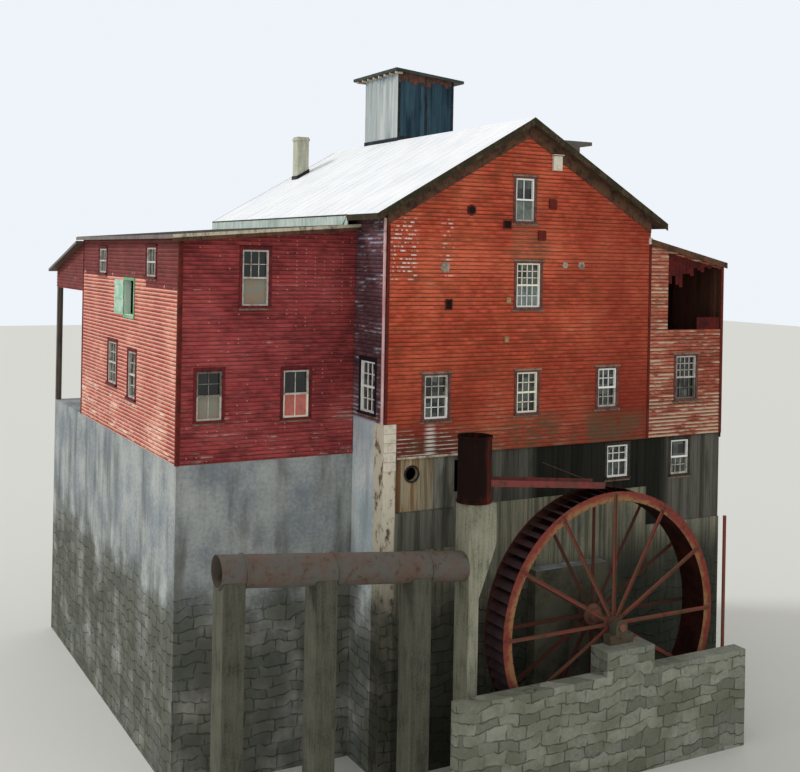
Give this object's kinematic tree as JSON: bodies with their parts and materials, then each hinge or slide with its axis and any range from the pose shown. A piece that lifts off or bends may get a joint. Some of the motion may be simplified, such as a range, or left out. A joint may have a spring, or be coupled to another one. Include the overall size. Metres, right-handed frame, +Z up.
{
  "type": "watermill",
  "caption": "Old clapboarded mill on tall stone foundations with side wings, roof cupola, standpipe, flume and an overshot steel wheel that turns",
  "frame": {"origin": "centre of the footprint's bounding box, on the ground", "axes": "+X to the right along the gable front, +Y to the back along the ridge, +Z up"},
  "size_m": [19.12, 21.18, 22.3961],
  "materials": {
    "orange_siding": "weathered orange-red paint",
    "crimson_siding": "weathered dark red paint",
    "grey_boards": "weathered",
    "roof_metal": "matt",
    "chimney_paint": "matt",
    "window_paint": "worn paint",
    "window_glass": "dusty",
    "shutter_paint": "worn paint",
    "downspout_paint": "worn paint",
    "concrete": "rough concrete",
    "stone": "whitewashed rubble",
    "cast_iron": "rough",
    "rusty_steel": "rusty"
  },
  "bodies": {
    "mill": {"front_wall": "orange_siding", "back_wall": "orange_siding", "left_wall": "crimson_siding", "right_wall": "orange_siding", "wing_front_wall": "crimson_siding", "wing_end_wall": "crimson_siding", "right_wing_front_wall": "orange_siding", "right_wing_end_wall": "orange_siding", "lower_boards": "grey_boards", "roof_left": "roof_metal", "roof_right": "roof_metal", "wing_roof": "roof_metal", "right_wing_roof": "roof_metal", "rake_boards": "grey_boards", "eave_apron": "roof_metal", "cupola_walls": "grey_boards", "cupola_roof": "roof_metal", "chimney": "chimney_paint", "roof_hood": "roof_metal", "floors": "grey_boards", "window_frames": "window_paint", "window_glass": "window_glass", "hatch_shutter": "shutter_paint", "downspout": "downspout_paint", "porch_roof": "roof_metal", "porch_sides": "crimson_siding", "porch_posts": "grey_boards", "porch_platform": "stone", "front_foundation": "stone", "side_foundations": "stone", "back_foundation": "stone", "wing_front_foundation": "stone", "wing_end_foundation": "stone", "right_wing_end_foundation": "stone", "pit_wall": "stone", "wall_corbel": "stone", "pit_ledge": "stone", "axle_bearings": "cast_iron", "steel_post": "rusty_steel", "standpipe": "rusty_steel", "pedestal": "concrete", "penstock": "rusty_steel", "penstock_piers": "concrete", "flume": "rusty_steel", "flume_stays": "rusty_steel"},
    "wheel": {"wheel_shrouds": "rusty_steel", "wheel_sole": "rusty_steel", "wheel_buckets": "rusty_steel", "wheel_spokes": "rusty_steel", "wheel_hubs": "rusty_steel", "wheel_axle": "rusty_steel"}
  },
  "joints": [
    {"name": "wheel_spin", "type": "hinge", "parent": "mill", "child": "wheel", "pos_m": [3.24, -9.21, 4.25], "axis": [0, 1, 0], "continuous": true}
  ]
}
